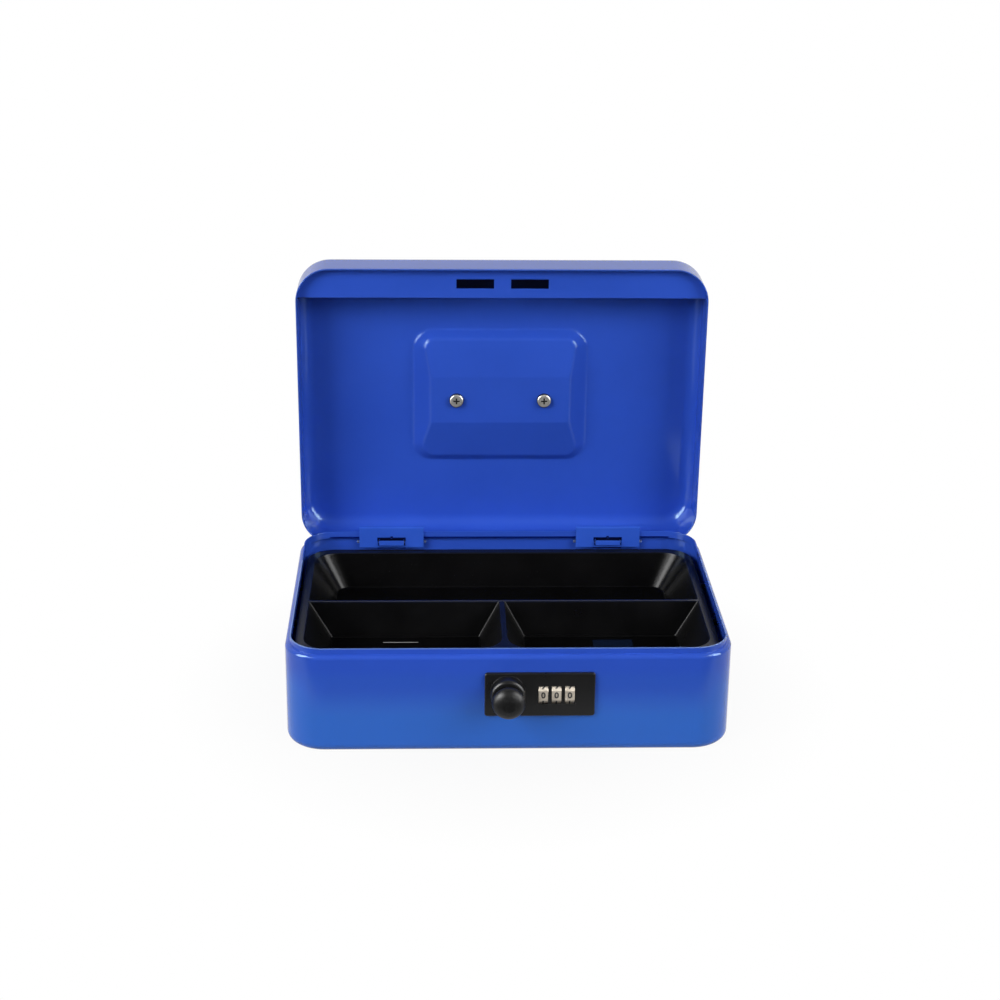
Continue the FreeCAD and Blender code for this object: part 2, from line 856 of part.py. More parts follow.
wheel_axis_y = plate_front - s.wheel_proud + s.wheel_diameter / 2
case_inner_half = s.wheel_diameter / 2 + s.case_floor_room
case_back = wheel_axis_y + s.wheel_diameter / 2 + s.wheel_room
dial_middle = s.knob_offset + s.wheel_shift
dial_spot = (wheel_axis_y, s.dial_height)
knob_spot = (s.knob_offset, s.knob_height)
case_span = beside(dial_middle, s.wheel_pitch + s.wheel_width / 2 + s.case_end_room)
flange_back = case_front + s.case_flange
bearing_back = flange_back + s.bearing_length
cam_front = bearing_back + s.face_gap
claw_middle = face + s.slot_setback
claw_front = claw_middle - s.claw_sheet / 2
claw_back = claw_middle + s.claw_sheet / 2
knob_back = face - s.lock_thick - s.boss_length - s.face_gap
shaft_start = s.knob_offset + s.cam_diameter / 2 + s.cam_throw * cosine(s.knob_turn / 2) + s.face_gap


def plate_span():
    return around(s.knob_offset + s.lock_offset, s.lock_width)


def plate_heights():
    return around(s.lock_height, s.lock_tall)


def wheel_middles():
    return [dial_middle + s.wheel_pitch * step for step in (-1, 0, 1)]


def lock_plate():
    """The cast plate on the front: a window for each wheel, a round boss and four posts behind."""
    margin = s.cut_margin
    slab = block("plate_slab", plate_span(), (plate_front, face), plate_heights())
    corners = rounded("plate_corners", slab, (along_y, s.lock_corner))
    edged = rounded("plate_edged", corners, (facing(plate_front), s.lock_edge))
    boss_front = plate_front - s.boss_length
    boss = rounded(
        "plate_boss",
        rod("plate_boss_blank", "Y", (boss_front, face), knob_spot, s.boss_diameter / 2),
        (facing(boss_front), s.boss_edge))
    posts = [
        rod(f"plate_post_{number}", "Y", (plate_front + s.lock_edge, case_front), spot, s.post_diameter / 2)
        for number, spot in enumerate(post_spots())]
    tools = [
        rod("plate_bore", "Y", (boss_front - margin, face + margin), knob_spot,
            s.spindle / 2 + s.running_fit * 2),
        block("plate_pocket", wheel_span(), (plate_front + s.lock_lip, face + margin),
              beside(s.dial_height, wheel_chord(face) + s.wheel_room)),
    ]
    for number, middle in enumerate(wheel_middles()):
        tools.append(block(
            f"plate_window_{number}", around(middle, s.wheel_width + s.window_gap * 2),
            (plate_front - margin, face + margin), around(s.dial_height, s.window_tall)))
    for number, spot in enumerate(post_spots()):
        tools.append(rod(
            f"plate_thread_{number}", "Y", (case_front - s.lock_screw_bite, case_front + margin), spot,
            s.lock_screw / 2 + s.running_fit))
    piece("lock_plate", cut("plate", fuse("plate_blank", edged, boss, *posts), *tools))


def along_y(edge):
    box = edge.BoundBox
    return box.XLength < NEAR and box.ZLength < NEAR


def cover_ears():
    """Middles of the two ears that take the screws of the back cover."""
    low, high = case_span
    out = s.case_wall + s.ear_diameter / 2
    rise = case_inner_half - s.ear_diameter / 2
    return [(low - out, s.dial_height - rise), (high + out, s.dial_height + rise)]


def case_outer():
    return (case_span[0] - s.case_wall, case_span[1] + s.case_wall)


def lock_case():
    """The housing behind the front wall: a flange, a box for the wheels and the spindle's bearing."""
    margin = s.cut_margin
    heights = beside(s.dial_height, case_inner_half)
    outer_heights = beside(s.dial_height, case_inner_half + s.case_wall)
    flange = block("case_plate", plate_span(), (case_front, flange_back), plate_heights())
    box = block("case_box", case_outer(), (case_front, case_back), outer_heights)
    bearing = rod("case_bearing", "Y", (case_front, bearing_back), knob_spot, s.bearing_diameter / 2)
    ears = [
        rod(f"case_ear_{number}", "Y", (case_back - s.ear_depth, case_back), spot, s.ear_diameter / 2)
        for number, spot in enumerate(cover_ears())]
    webs = [
        block(f"case_web_{number}", ordered(x, edge), (case_back - s.ear_depth, case_back),
              around(z, s.ear_diameter))
        for number, ((x, z), edge) in enumerate(zip(cover_ears(), case_outer()))]
    tools = [
        block("case_room", case_span, (case_front - margin, case_back + margin), heights),
        rod("case_bore", "Y", (case_front - margin, bearing_back + margin), knob_spot,
            s.spindle / 2 + s.running_fit),
        rod("case_shaft_bore", "X", (case_outer()[0] - margin, case_outer()[1] + margin), dial_spot,
            s.shaft / 2 + s.running_fit),
    ]
    for number, spot in enumerate(post_spots()):
        tools.append(rod(
            f"case_screw_hole_{number}", "Y", (case_front - margin, flange_back + margin), spot,
            s.lock_screw / 2 + s.seat_gap))
    for number, spot in enumerate(cover_ears()):
        tools.append(rod(
            f"case_thread_{number}", "Y", (case_back - s.cover_screw_bite, case_back + margin), spot,
            s.cover_screw / 2 + s.running_fit))
    piece("lock_case", cut("case", fuse("case_blank", flange, box, bearing, *ears, *webs), *tools))


def lock_cover():
    span = (case_outer()[0] - s.ear_diameter, case_outer()[1] + s.ear_diameter)
    heights = beside(s.dial_height, case_inner_half + s.case_wall)
    slab = block("cover_slab", span, (case_back, case_back + s.case_cover), heights)
    through = (case_back - s.cut_margin, case_back + s.case_cover + s.cut_margin)
    holes = [
        rod(f"cover_hole_{number}", "Y", through, spot, s.cover_screw / 2 + s.seat_gap)
        for number, spot in enumerate(cover_ears())]
    piece("lock_cover", cut("cover", slab, *holes))


def lock_screws():
    sizes = (s.lock_screw, s.lock_screw_head, s.lock_screw_head_depth)
    tip = case_front - s.lock_screw_bite + s.seat_gap
    piece("lock_screws", group("lock_screw_set", *[
        pan_screw(f"lock_screw_{number}", flange_back, -1, tip, spot, "Y", sizes)
        for number, spot in enumerate(post_spots())]))
    cover_sizes = (s.cover_screw, s.cover_screw_head, s.cover_screw_head_depth)
    cover_tip = case_back - s.cover_screw_bite + s.seat_gap
    piece("cover_screws", group("cover_screw_set", *[
        pan_screw(f"cover_screw_{number}", case_back + s.case_cover, -1, cover_tip, spot, "Y", cover_sizes)
        for number, spot in enumerate(cover_ears())]))


def detent_spring():
    """A leaf on the floor of the case with a bump under each wheel."""
    floor = s.dial_height - case_inner_half
    width = around(wheel_axis_y, s.wheel_diameter / 2)
    strip = block("detent_strip", case_span, width, (floor, floor + s.detent_sheet))
    rise = s.case_floor_room - s.face_gap
    bumps = [
        rod(f"detent_bump_{number}", "X", around(middle, s.wheel_width / 2), (wheel_axis_y, floor), rise)
        for number, middle in enumerate(wheel_middles())]
    under = block("detent_under", case_span, width, (floor - s.case_floor_room, floor))
    piece("detent_spring", cut("detent", fuse("detent_blank", strip, *bumps), under))


def knob():
    """A round knob, flattened front to back, on a round stem that ends at the boss."""
    middle = face - s.knob_reach
    radius = s.knob_diameter / 2
    half = s.knob_thick / 2
    front = middle - half
    bulb = doc.addObject("Part::Ellipsoid", "knob_bulb")
    bulb.Angle1 = -90
    bind(bulb, "Radius1", half)
    bind(bulb, "Radius2", radius)
    bind(bulb, "Radius3", radius)
    aligned(bulb, "Y", middle, knob_spot)
    stem = rod("knob_stem", "Y", (middle, knob_back), knob_spot, s.knob_stem / 2)
    flat = block(
        "knob_flat", beside(s.knob_offset, radius), (front - s.cut_margin, front + s.knob_flat),
        beside(s.knob_height, radius))
    socket = rod(
        "knob_socket", "Y", (knob_back - s.knob_socket, knob_back + s.cut_margin), knob_spot,
        s.spindle / 2 + s.running_fit)
    piece("knob", cut("knob_whole", fuse("knob_blank", bulb, stem), flat, socket))


def knob_drive():
    """What turns with the knob: spindle, eccentric, claw and the nut that holds them."""
    nut_front = claw_back
    end = nut_front + s.nut_height
    start = knob_back - s.knob_socket + s.seat_gap
    piece("knob_spindle", rod("spindle_rod", "Y", (start, end), knob_spot, s.spindle / 2))
    bore_radius = s.spindle / 2 + s.running_fit / 2
    bore = rod("drive_bore", "Y", (cam_front - s.cut_margin, end + s.cut_margin), knob_spot, bore_radius)
    half_turn = s.knob_turn / 2
    cam_spot = (
        s.knob_offset + s.cam_throw * cosine(half_turn), s.knob_height - s.cam_throw * sine(half_turn))
    disc = rod("cam_disc", "Y", (cam_front, cam_front + s.cam_thick), cam_spot, s.cam_diameter / 2)
    sleeve = rod("cam_sleeve", "Y", (cam_front, claw_front), knob_spot, s.cam_sleeve / 2)
    piece("lock_cam", cut("cam", fuse("cam_blank", disc, sleeve), bore))
    piece("lock_claw", cut("claw", claw_blank(), bore))
    nut_corner = s.nut_flats / 2 / cosine(as_size(180) / s.nut_sides)
    nut = polygon_rod("nut_blank", "Y", (nut_front, end), knob_spot, nut_corner, s.nut_sides)
    piece("claw_nut", cut("nut", nut, bore))


def claw_blank():
    """A hooked arm: a hub, an arm out to the tail and a band round the axis to the tip."""
    strike_middle = lid_edge + s.strike_recess + s.strike_sheet / 2
    rise = strike_middle - s.knob_height
    reach = root(s.slot_spacing * s.slot_spacing / 4 + rise * rise)
    thick = (claw_front, claw_back)
    band = ring_sector("claw_band", reach, s.claw_band, s.claw_tip_locked + s.knob_turn, s.claw_span)
    hub = rod("claw_hub", "Y", thick, knob_spot, s.claw_hub / 2)
    arm = block("claw_arm", (zero, reach + s.claw_band / 2 - s.seat_gap), thick, (zero, s.claw_arm))
    tail = s.claw_tip_locked + s.knob_turn + s.claw_span
    arm.Placement = FreeCAD.Placement(Vector(), Rotation(Vector(0, 1, 0), -tail.value))
    place(arm, s.knob_offset + sine(tail) * s.claw_arm, claw_front,
          s.knob_height - cosine(tail) * s.claw_arm)
    return fuse("claw_blank", hub, arm, band)


def ring_sector(name, reach, band, start, span):
    """Part of a ring about the knob's axis, start and span measured up from +X towards +Z."""
    outer = rod(f"{name}_outer", "Y", (claw_front, claw_back), knob_spot, reach + band / 2)
    bind(outer, "Angle", span)
    outer.Placement = FreeCAD.Placement(
        Vector(), Rotation(Vector(0, 1, 0), -(start + span).value) * TURNS["Y"])
    place(outer, s.knob_offset, claw_front, s.knob_height)
    inner = rod(
        f"{name}_inner", "Y", (claw_front - s.cut_margin, claw_back + s.cut_margin), knob_spot,
        reach - band / 2)
    return cut(name, outer, inner)


def number_wheels():
    """Three faceted wheels, each with the code sleeve that turns in it, on the locking shaft."""
    for number, middle in enumerate(wheel_middles(), 1):
        blank = polygon_rod(
            f"wheel_blank_{number}", "X", around(middle, s.wheel_width), dial_spot, s.wheel_diameter / 2,
            s.wheel_facets)
        bore = rod(
            f"wheel_bore_{number}", "X", around(middle, s.wheel_width + s.cut_margin * 2), dial_spot,
            s.sleeve_diameter / 2 + s.running_fit / 2)
        piece(f"number_wheel_{number}", cut(f"wheel_{number}", blank, bore))
        length = s.wheel_pitch - s.sleeve_gap
        tube = rod(
            f"sleeve_tube_{number}", "X", around(middle, length), dial_spot, s.sleeve_diameter / 2)
        hole = rod(
            f"sleeve_hole_{number}", "X", around(middle, length + s.cut_margin * 2), dial_spot,
            s.shaft / 2 + s.running_fit)
        piece(f"code_sleeve_{number}", cut(f"sleeve_{number}", tube, hole))


def locking_shaft():
    """The rod through the wheels: the eccentric pushes its head, a spring returns it."""
    end = case_outer()[1] + s.shaft_tail
    head_ends = (shaft_start, shaft_start + s.shaft_head_length)
    head = rod("shaft_head", "X", head_ends, dial_spot, s.shaft_head / 2)
    stem = rod("shaft_stem", "X", (shaft_start, end), dial_spot, s.shaft / 2)
    piece("lock_shaft", fuse("shaft", head, stem))


def shaft_spring():
    """A coil round the shaft between its head and the case, which pushes the shaft to the cam."""
    low = shaft_start + s.shaft_head_length + s.seat_gap + s.spring_wire / 2
    high = case_outer()[0] - s.seat_gap - s.spring_wire / 2
    radius = (s.spring_diameter - s.spring_wire) / 2
    path = doc.addObject("Part::Helix", "spring_path")
    bind(path, "Radius", radius)
    bind(path, "Height", high - low)
    bind(path, "Pitch", (high - low) / s.spring_turns)
    aligned(path, "X", low, dial_spot)
    section = doc.addObject("Part::Circle", "spring_section")
    bind(section, "Radius", s.spring_wire / 2)
    section.Placement = FreeCAD.Placement(Vector(), Rotation(Vector(1, 0, 0), 90))
    place(section, low, wheel_axis_y, s.dial_height - radius)
    doc.recompute()
    coil = doc.addObject("Part::Sweep", "spring")
    coil.Sections = [section]
    coil.Spine = (path, [f"Edge{number + 1}" for number in range(len(path.Shape.Edges))])
    coil.Solid = True
    coil.Frenet = True
    piece("shaft_spring", coil)


# Coin tray

tray_top = s.rim_height - s.tray_drop
tray_floor = tray_top - s.tray_depth
tray_back = neck_inner - s.tray_back_gap
tray_front = -wall_inner + s.tray_front_gap
tray_half = half_width - s.neck_inset - s.sheet - s.tray_side_gap
tray_middle = (tray_back + tray_front) / 2
tray_seam = tray_middle - s.tray_divider_shift
stud_height = tray_top - s.tray_flange - s.seat_gap - s.stud_diameter / 2
tab_stop = pin_z - (lid_inner - pin_y) - s.stop_gap


def pocket(name, x, y, slopes, grow):
    """One compartment with sloping walls, made larger by grow for the outside of its walls."""
    (x_low, x_high), (y_low, y_high) = x, y
    west, east, south, north = slopes
    at_back = y_low.value > tray_seam.value
    seam = s.pocket_seam + grow
    top_round = s.pocket_corner + grow
    floor_round = s.pocket_floor_corner + grow
    walls = loft(
        f"{name}_walls",
        round_section(
            f"{name}_low", (x_low + west - grow, x_high - east + grow),
            (y_low + south - grow, y_high - north + grow), tray_floor - grow,
            (seam, floor_round) if at_back else (floor_round, seam)),
        round_section(
            f"{name}_rim", (x_low - grow, x_high + grow), (y_low - grow, y_high + grow), tray_top,
            (seam, top_round) if at_back else (top_round, seam)))
    return rounded(name, walls, (level(tray_floor - grow), s.pocket_foot + grow))


def coin_tray():
    half_seam = s.tray_divider / 2
    half_post = s.tray_centre_divider / 2
    reach = tray_half - s.tray_ledge
    left_end, right_end = beside(s.tray_centre_shift, half_post)
    rear_y = (tray_seam + half_seam, tray_back - s.tray_back_ledge)
    front_y = (tray_front + s.tray_back_ledge, tray_seam - half_seam)
    side, end = s.tray_side_slope, s.tray_end_slope
    inner, post = s.tray_divider_slope, s.tray_centre_slope
    rooms = (
        ("rear_pocket", spread(reach), rear_y, (side, side, inner, end)),
        ("left_pocket", (-reach, left_end), front_y, (side, post, end, inner)),
        ("right_pocket", (right_end, reach), front_y, (post, side, end, inner)),
    )
    sheet = block(
        "tray_flange_blank", spread(tray_half), (tray_front, tray_back),
        (tray_top - s.tray_flange, tray_top))
    flange = rounded("tray_flange", sheet, (upright, s.tray_corner))
    skins = [pocket(f"{name}_skin", x, y, slopes, s.tray_wall) for name, x, y, slopes in rooms]
    rooms_cut = [pocket(name, x, y, slopes, zero) for name, x, y, slopes in rooms]
    pad_back = tray_seam - half_seam - s.tray_pad_setback
    pads = [
        block(f"tray_pad_{which}", around(s.tray_pad_shift + s.tray_pad_offset * sign, s.tray_pad_length),
              (pad_back - s.tray_pad_width, pad_back),
              (tray_floor - s.tray_wall / 2, tray_floor + s.tray_pad_rise))
        for which, sign in SIDES]
    hollow = cut("tray_rooms", fuse("tray_blank", flange, *skins), *rooms_cut)
    piece("coin_tray", fuse("tray", hollow, *pads))


def tray_studs():
    """Four plastic studs pressed into the side walls, under the edge of the tray."""
    studs = []
    for number, (sign, y) in enumerate(stud_spots()):
        ends = ordered((half_width - s.stud_recess) * sign, (tray_half - s.stud_hold) * sign)
        studs.append(rod(f"stud_{number}", "X", ends, (y, stud_height), s.stud_diameter / 2))
    piece("tray_studs", group("stud_set", *studs))


def build():
    base_shell()
    for side, sign in SIDES:
        hinge_plate(side, sign)
        open_up(f"hinge_tab_{side}", hinge_tab(side, sign))
        handle_lug(side, sign)
    lid_shell()
    strike_plate()
    handle_screws()
    handle_bail()
    lock_plate()
    lock_case()
    lock_cover()
    lock_screws()
    detent_spring()
    knob()
    knob_drive()
    number_wheels()
    locking_shaft()
    shaft_spring()
    coin_tray()
    tray_studs()
    doc.recompute()


def check():
    for item in doc.Objects:
        if "Invalid" in item.State or "Error" in item.State:
            raise RuntimeError(f"{item.Label} failed: {item.State}")
    for node, item in pieces.items():
        if item.Shape.isNull() or not item.Shape.isValid() or not item.Shape.Solids:
            raise RuntimeError(f"{node} has no valid solid")


def write():
    os.makedirs("parts", exist_ok=True)
    for node, item in pieces.items():
        item.Shape.exportStep(f"parts/{node}.step")


build()
check()
write()
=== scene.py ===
"""Looks of the cash box: painted steel, moulded tray, plated dial wheels, floor, light and camera."""

import math

import bpy
from mathutils import Matrix, Vector


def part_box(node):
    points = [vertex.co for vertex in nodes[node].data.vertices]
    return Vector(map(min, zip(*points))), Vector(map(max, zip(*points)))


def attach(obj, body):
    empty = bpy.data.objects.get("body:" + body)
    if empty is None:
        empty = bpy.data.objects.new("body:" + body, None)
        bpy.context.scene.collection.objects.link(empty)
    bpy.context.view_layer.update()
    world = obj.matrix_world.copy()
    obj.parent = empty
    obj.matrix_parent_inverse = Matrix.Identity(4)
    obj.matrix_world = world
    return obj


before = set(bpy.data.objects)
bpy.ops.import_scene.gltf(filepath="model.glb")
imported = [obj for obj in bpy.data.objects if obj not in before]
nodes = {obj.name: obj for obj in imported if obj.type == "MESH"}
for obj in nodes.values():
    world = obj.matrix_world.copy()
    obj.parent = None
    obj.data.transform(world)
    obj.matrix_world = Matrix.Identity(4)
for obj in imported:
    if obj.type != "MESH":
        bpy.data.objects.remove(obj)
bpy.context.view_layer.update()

# Colours as linear light
BLUE = (0.0245, 0.0760, 0.470, 1.0)
BLUE_DEEP = (0.0220, 0.0695, 0.435, 1.0)
# Lighter blue for sharp paint edges: partly paint drawn thin, partly a painted highlight
BLUE_THIN_AND_SHEEN = (0.0340, 0.1050, 0.500, 1.0)
# Lighter copies of BLUE and BLUE_DEEP for the hinge plates and tabs: painted light, the same paint lit more
# brightly
HINGE_BLUE_LIT = (0.0270, 0.0900, 0.520, 1.0)
HINGE_BLUE_LIT_DEEP = (0.0240, 0.0820, 0.485, 1.0)
# Painted shadow in the crease under the base's back rim
CREASE_SHADOW_BLUE = (0.0010, 0.0070, 0.120, 1.0)
# Darker blue for the base's front wall: painted shade
BLUE_FRONT_PAINTED_LIGHT = (0.0235, 0.0760, 0.425, 1.0)
# Lighter, greener blue low on the base's front: painted light bounced from the floor
BLUE_FRONT_PAINTED_LIGHT_LOW = (0.0130, 0.0910, 0.440, 1.0)
# Lighter blue on the base's front corners: painted reflection of a white card beside the box
CORNER_REFLECTION_BLUE = (0.0210, 0.1080, 0.495, 1.0)
# Pale blue along the front rim's top edge: painted highlight
RIM_HIGHLIGHT_BLUE = (0.110, 0.190, 0.500, 1.0)
# Near-black navy: painted shadow behind the hinges, behind the strike plate and at the hinge plates' slits
# and notches
SHADOW_NAVY = (0.0010, 0.0030, 0.030, 1.0)
GLOSS_TINT = (0.64, 0.93, 1.0, 1.0)
BLACK_PAINT = (0.0058, 0.0058, 0.0062, 1.0)
# Grey on the black casting's edges, partly rubbed paint and partly a painted highlight; also the tray's dust
BLACK_WORN_DUST_AND_SHEEN = (0.022, 0.022, 0.023, 1.0)
BLACK_PLASTIC = (0.0016, 0.0016, 0.0018, 1.0)
BLACK_PLASTIC_PALE = (0.0045, 0.0046, 0.0050, 1.0)
KNOB_BLACK = (0.0035, 0.0035, 0.0038, 1.0)
KNOB_PALE = (0.0110, 0.0110, 0.0115, 1.0)
# Bluish dark grey on the tray's top edges: partly dust, partly a painted reflection of the blue box
RIM_DUST_AND_REFLECTION = (0.0050, 0.0065, 0.0130, 1.0)
# Grey for the top of the tray's cross divider: painted sheen
SHEEN_GREY = (0.040, 0.040, 0.042, 1.0)
# Pale grey for a line on the left pad: painted highlight
PAD_HIGHLIGHT = (0.55, 0.55, 0.53, 1.0)
# Dark blue on the tray's right pad: painted reflection of the blue lid
PAD_BLUE_REFLECTION = (0.0040, 0.0085, 0.0240, 1.0)
NICKEL = (0.70, 0.66, 0.58, 1.0)
NICKEL_DULL = (0.52, 0.49, 0.43, 1.0)
DIAL = (0.60, 0.54, 0.45, 1.0)
DIAL_DULL = (0.38, 0.33, 0.27, 1.0)
ZINC = (0.68, 0.66, 0.60, 1.0)
ZINC_DULL = (0.46, 0.45, 0.42, 1.0)
CHROME = (0.55, 0.53, 0.48, 1.0)
# Near-black in the handle screws' cross recesses: painted shade
SCREW_HOLLOW_SHADE = (0.035, 0.035, 0.040, 1.0)
# Steel tinted blue for the hinge pins: painted reflection of the blue paint around them
PIN_STEEL_BLUE_LIT = (0.14, 0.19, 0.36, 1.0)
PIN_DULL_BLUE_LIT = (0.08, 0.12, 0.28, 1.0)
STEEL = (0.40, 0.40, 0.41, 1.0)
STEEL_DULL = (0.27, 0.27, 0.28, 1.0)
CAST = (0.44, 0.44, 0.45, 1.0)
CAST_DARK = (0.30, 0.30, 0.31, 1.0)
BRASS = (0.66, 0.47, 0.19, 1.0)
BRASS_DULL = (0.45, 0.31, 0.12, 1.0)
INK = (0.012, 0.011, 0.010, 1.0)
INK_WORN = (0.055, 0.050, 0.044, 1.0)
FLOOR = (0.42, 0.42, 0.42, 1.0)
FLOOR_FAR = (0.10, 0.10, 0.10, 1.0)
WHITE = (1.0, 1.0, 1.0, 1.0)

# Heights of the surfaces' grain, metres
PEEL_HEIGHT = 0.000012
SPECK_HEIGHT = 0.000004
PAINT_GRAIN_HEIGHT = 0.00005
KNOB_MARK_HEIGHT = 0.00003
MOULD_GRAIN_HEIGHT = 0.00003
CAST_GRAIN_HEIGHT = 0.00006
INK_WEAR_HEIGHT = 0.00002
FINE_BRUSHING = 0.00001
BRUSHING = 0.00002
COARSE_BRUSHING = 0.00003

# Stretch of a grain that runs no way in particular
EVEN = (1.0, 1.0, 1.0)

# Softening of edges in the light, and the wider bends of the pressed lid, metres
EDGE_RADIUS = 0.00035
LID_EDGE_RADIUS = 0.0020

# Likeness of the true and the softened direction where an edge begins and where it is reached
EDGE_BEGINS = 0.995
EDGE_REACHED = 0.93

# Span that nearly all values of a noise lie in
NOISE_SPAN = (0.3, 0.7)

# How much smoother and rougher brushing makes a metal
BRUSHED_SMOOTHER = 0.06
BRUSHED_ROUGHER = 0.08

# Factors on the tray's roughness, on the polished pad and in the two front pockets
PAD_POLISH = 0.3
POCKET_MATT = 1.5

# Lock wheels, metres
WHEEL_FACETS = 10
DIGIT_HEIGHT = 0.0034
DIGIT_BOLD = 0.00020
DIGIT_DEPTH = 0.00006
DIGIT_CURVE_STEPS = 6
DIGIT_SHARE_OF_FONT = 0.7
FRONT_DIGITS = (0, 0, 0)

# What tells a facet from a wheel's other faces: tilt towards X, and distance from the axis per height
FACET_TILT = 0.1
FACET_SHARE = 0.405

# Strength of the room's light from the front, from above and from the backdrop
ROOM_FRONT = 0.08
ROOM_TOP = 0.20
ROOM_BACK = 0.45

# Parts of a direction's Z and Y over which the light from above and the backdrop fade in
OVERHEAD_SPAN = (0.1, 0.9)
BACKDROP_SPAN = (-0.1, 0.5)

# Floor: half its width, and how far from the middle its shadow and its pale sheet reach, metres
FLOOR_REACH = 30.0
SHADOW_SPAN = (0.10, 0.20)
SHEET_SPAN = (0.22, 0.45)

# Floor: its roughness, and its shade beside the box
FLOOR_ROUGHNESS = 0.9
FLOOR_SHADE = 0.92

# Floor: how bright gloss shows it in front of a line along X and behind it, and where that line fades, metres
MIRROR_SPAN = (-0.170, -0.140)
MIRROR_FRONT = 0.05
MIRROR_BACK = 0.85

# Lamps for the matt light, and cards and spots that only gloss shows: watts and metres, right side
LAMP_TARGET = Vector((0.0, 0.0, 0.08))
LAMP_POWER = 20.6
LAMP_PLACE = Vector((1.12, -0.86, 0.82))
LAMP_SIZE = (0.9, 0.9)
CARD_POWER = 30.0
CARD_PLACE = Vector((1.25, -0.45, 0.66))
CARD_SIZE = (0.55, 1.25)
SPOT_POWER = 45.0
SPOT_SIZE = (0.5, 0.5)
FILL_POWER = 2.0
FILL_PLACE = Vector((0.0, -1.3, 1.2))
FILL_SIZE = (0.8, 0.8)
LEFT_SHARE = 1.15
RIGHT_SHARE = 0.88

# Camera found from the photograph's edges: metres, radians, pixels and the sensor's millimetres
CAMERA_PLACE = Vector((-0.042829, -1.054244, 0.516174))
CAMERA_YAW = 0.037402
CAMERA_PITCH = 0.361997
CAMERA_ROLL = 0.012114
FOCAL_PIXELS = 1937.41
IMAGE_PIXELS = 1000
SENSOR = 36.0
CLIP_NEAR = 0.05
CLIP_FAR = 200.0


# Places that look different from the rest of their piece; most of them carry painted shade, painted
# highlights and painted reflections


def around(middle, width):
    return middle - width / 2, middle + width / 2


def both_sides(place):
    """A place on the right of the box and its mirror image on the left."""
    low, high = place["x"]
    return place, {**place, "x": (-high, -low)}


def tinted(tint, *places):
    return [(place, tint) for place in places]


# Spans in metres, most of them measured from the piece that they lie on; MARGIN reaches past its surface
MARGIN = 0.001
MASK_BLUR = 0.0002
SCREW_BLUR = 0.0001

base_low, base_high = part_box("base_shell")
FRONT_SKIN = around(base_low.y, 0.0200)
# Painted highlight along the top of the base's front rim
RIM_TOP_HIGHLIGHT = {"y": (base_low.y - 0.0050, 0.0400), "z": (base_high.z - 0.0003, base_high.z + 0.0005)}
# Painted shadow: a dark line along the crease under the base's back rim
BACK_CREASE_SHADOW = {"y": (base_high.y - 0.0040, base_high.y), "z": around(base_high.z - 0.0040, 0.0012)}
# Painted shade over the base's front wall
FRONT_WALL_SHADE = {"x": around(0.0, 0.2250), "y": FRONT_SKIN, "z": (0.0, 0.0480), "blur": 0.0030}
# Painted bounce light from the floor on the lower front
FRONT_FOOT_BOUNCE_LIGHT = {"y": FRONT_SKIN, "z": (-0.0500, 0.0300), "blur": 0.0080}
# Painted reflection on both front corners of the base
FRONT_CORNER_REFLECTION = {
    "x": (base_high.x - 0.0100, base_high.x + 0.0150), "y": around(base_low.y, 0.0400),
    "z": (-0.0500, 0.0430), "blur": 0.0065}

hinge_low, hinge_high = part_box("hinge_plate_right")
hinge_middle = (hinge_low.x + hinge_high.x) / 2
HINGE_SLIT_X = around(hinge_middle, 0.0180)
# Painted shadow on the base's back wall behind each hinge plate
BEHIND_HINGE_SHADOW = {"x": HINGE_SLIT_X, "y": (0.0868, 0.0910), "z": (0.0500, 0.0588)}
# Painted shadow: a dark line on each hinge plate above the slit
HINGE_SLIT = {"x": HINGE_SLIT_X, "y": (0.0842, 0.0880), "z": (0.0566, 0.0590)}
# Painted shade: a dark spot standing for the notch above each hinge slit
HINGE_NOTCH_SHADOW = {
    "x": (hinge_middle - 0.0009, hinge_middle + 0.0006), "y": (hinge_low.y + 0.0010, hinge_low.y + 0.0025),
    "z": (0.0580, 0.0598)}

strike_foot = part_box("strike_plate")[0].z
# Painted shadow on the lid behind and below the strike plate
BEHIND_STRIKE_SHADOW = {
    "x": around(0.0, 0.0680), "y": (0.1000, 0.1137), "z": (strike_foot - 0.0032, strike_foot + 0.0057)}

tray_low, tray_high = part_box("coin_tray")
TRAY_RIM = (tray_high.z - 0.0006, tray_high.z + MARGIN)
PAD_TOP = around(tray_low.z + 0.0021, 0.0006)
# The tray's top edges: partly dust, partly a painted reflection of the blue box
TRAY_TOP_DUST_AND_REFLECTION = {"z": TRAY_RIM}
# Painted sheen along the top of the tray's cross divider
SHEEN_GREYED_DIVIDER = {"x": around(0.0, 0.2330), "y": (0.0030, 0.0042), "z": TRAY_RIM}
# Painted highlight along the left pad's back edge
LEFT_PAD_HIGHLIGHT = {"x": (-0.0718, -0.0512), "y": (-0.0105, -0.0100), "z": PAD_TOP}
# The right pad: painted reflection of the blue lid in its colour, and polished
RIGHT_PAD = {"x": (0.0524, 0.0758), "y": (-0.0215, -0.0075), "z": PAD_TOP}
FRONT_POCKETS = {"y": (tray_low.y - MARGIN, 0.0030), "z": (tray_low.z + 0.0025, tray_high.z - 0.0004)}

screw_low, screw_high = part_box("handle_screws")
# Painted shade in the handle screws' cross recesses
SHADED_SCREW_HOLLOWS = {"y": (screw_low.y + 0.00047, screw_high.y - 0.0022), "blur": SCREW_BLUR}


# Node helpers


